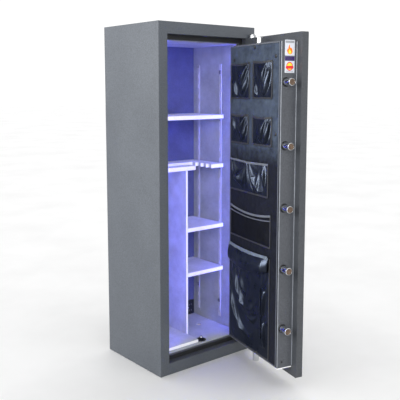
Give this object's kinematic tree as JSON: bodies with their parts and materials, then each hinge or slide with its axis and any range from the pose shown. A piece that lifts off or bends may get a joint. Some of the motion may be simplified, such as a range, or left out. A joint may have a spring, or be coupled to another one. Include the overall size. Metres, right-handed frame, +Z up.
{
  "type": "gun safe",
  "caption": "Tall steel long-gun safe with an open door on external hinges, live bolts, carpeted shelves, a barrel rest and a cloth door organizer.",
  "frame": {"origin": "centre of the body's underside, on the floor", "axes": "+Z up, -Y out of the front of the body, +X towards the hinge side"},
  "size_m": [0.535, 0.8698, 1.5],
  "materials": {
    "body_paint": "grey hammertone powder coat",
    "frame_paint": "grey textured powder coat",
    "seal": "black expanding smoke seal",
    "fireboard": "off-white gypsum fireboard",
    "carpet": "short grey carpet over board",
    "standard": "satin grey slotted steel",
    "light": "blue-violet LED strip",
    "black_plastic": "black moulded plastic",
    "chrome": "bright chrome plate",
    "hinge_steel": "polished steel",
    "steel": "zinc plated steel",
    "velour": "blue-grey velour",
    "satin": "black satin",
    "mesh": "black elastic mesh",
    "dial": "black dial"
  },
  "bodies": {
    "safe_body": {"body_shell": "body_paint", "door_jamb": "frame_paint", "door_seal": "seal", "fireboard_back": "fireboard", "fireboard_left": "fireboard", "fireboard_right": "fireboard", "fireboard_bottom": "fireboard", "fireboard_top": "fireboard", "liner_back": "carpet", "liner_left": "carpet", "liner_right": "carpet", "floor_board": "carpet", "ceiling_board": "carpet", "standard_left_front": "standard", "standard_left_rear": "standard", "standard_right_front": "standard", "standard_right_rear": "standard", "upper_shelf": "carpet", "barrel_rest": "carpet", "divider": "carpet", "half_shelf_upper": "carpet", "half_shelf_lower": "carpet", "base_board": "carpet", "light_strip_left": "light", "light_strip_right": "light", "power_outlet": "black_plastic", "bottom_strike": "black_plastic", "hinge_body_knuckle_upper": "hinge_steel", "hinge_body_knuckle_lower": "hinge_steel", "hinge_pin_upper": "steel", "hinge_pin_lower": "steel"},
    "door": {"hinge_door_knuckle_upper": "hinge_steel", "hinge_door_knuckle_lower": "hinge_steel", "door_plate": "frame_paint", "door_fireboard": "fireboard", "boltwork_pan": "frame_paint", "dial_ring": "chrome", "lock_case": "steel", "organizer_panel": "velour", "pocket_top_bolt_side": "satin", "pocket_top_hinge_side": "satin", "pocket_second_bolt_side": "satin", "pocket_second_hinge_side": "satin", "pocket_wide": "satin", "pocket_mesh": "mesh", "pocket_bag": "satin"},
    "handle": {"spoke_handle": "chrome", "handle_shaft": "steel", "handle_cam": "steel"},
    "side_bolts": {"bolt_carriage": "steel", "side_bolt_1": "chrome", "side_bolt_2": "chrome", "side_bolt_3": "chrome", "side_bolt_4": "chrome", "side_bolt_5": "chrome"},
    "top_bolt": {"top_bolt": "chrome"},
    "bottom_bolt": {"bottom_bolt": "chrome"},
    "dial": {"combination_dial": "dial"},
    "lock_bolt": {"lock_bolt": "steel"}
  },
  "joints": [
    {"name": "door_hinge", "type": "hinge", "parent": "safe_body", "child": "door", "pos_m": [0.2385, -0.2235, 0.75], "axis": [0, 0, 1], "range_deg": [-76.5, 98.5]},
    {"name": "handle_turn", "type": "hinge", "parent": "door", "child": "handle", "pos_m": [0.17553, -0.45366, 0.758], "axis": [0.9724, -0.2334, 0], "range_deg": [0, 90]},
    {"name": "side_bolts_slide", "type": "slide", "parent": "door", "child": "side_bolts", "axis": [0.2334, 0.9724, 0], "range_m": [0, 0.0439]},
    {"name": "top_bolt_slide", "type": "slide", "parent": "door", "child": "top_bolt", "axis": [0, 0, -1], "range_m": [0, 0.0439]},
    {"name": "bottom_bolt_slide", "type": "slide", "parent": "door", "child": "bottom_bolt", "axis": [0, 0, 1], "range_m": [0, 0.0439]},
    {"name": "dial_spin", "type": "hinge", "parent": "door", "child": "dial", "pos_m": [0.17553, -0.45366, 0.948], "axis": [0.9724, -0.2334, 0], "continuous": true},
    {"name": "lock_bolt_slide", "type": "slide", "parent": "door", "child": "lock_bolt", "axis": [0, 0, -1], "range_m": [0, 0.012]}
  ],
  "couplings": [
    {"joint": "side_bolts_slide", "follows": "handle_turn", "m_per_rad": 0.02791},
    {"joint": "top_bolt_slide", "follows": "handle_turn", "m_per_rad": 0.02791},
    {"joint": "bottom_bolt_slide", "follows": "handle_turn", "m_per_rad": 0.02791}
  ]
}
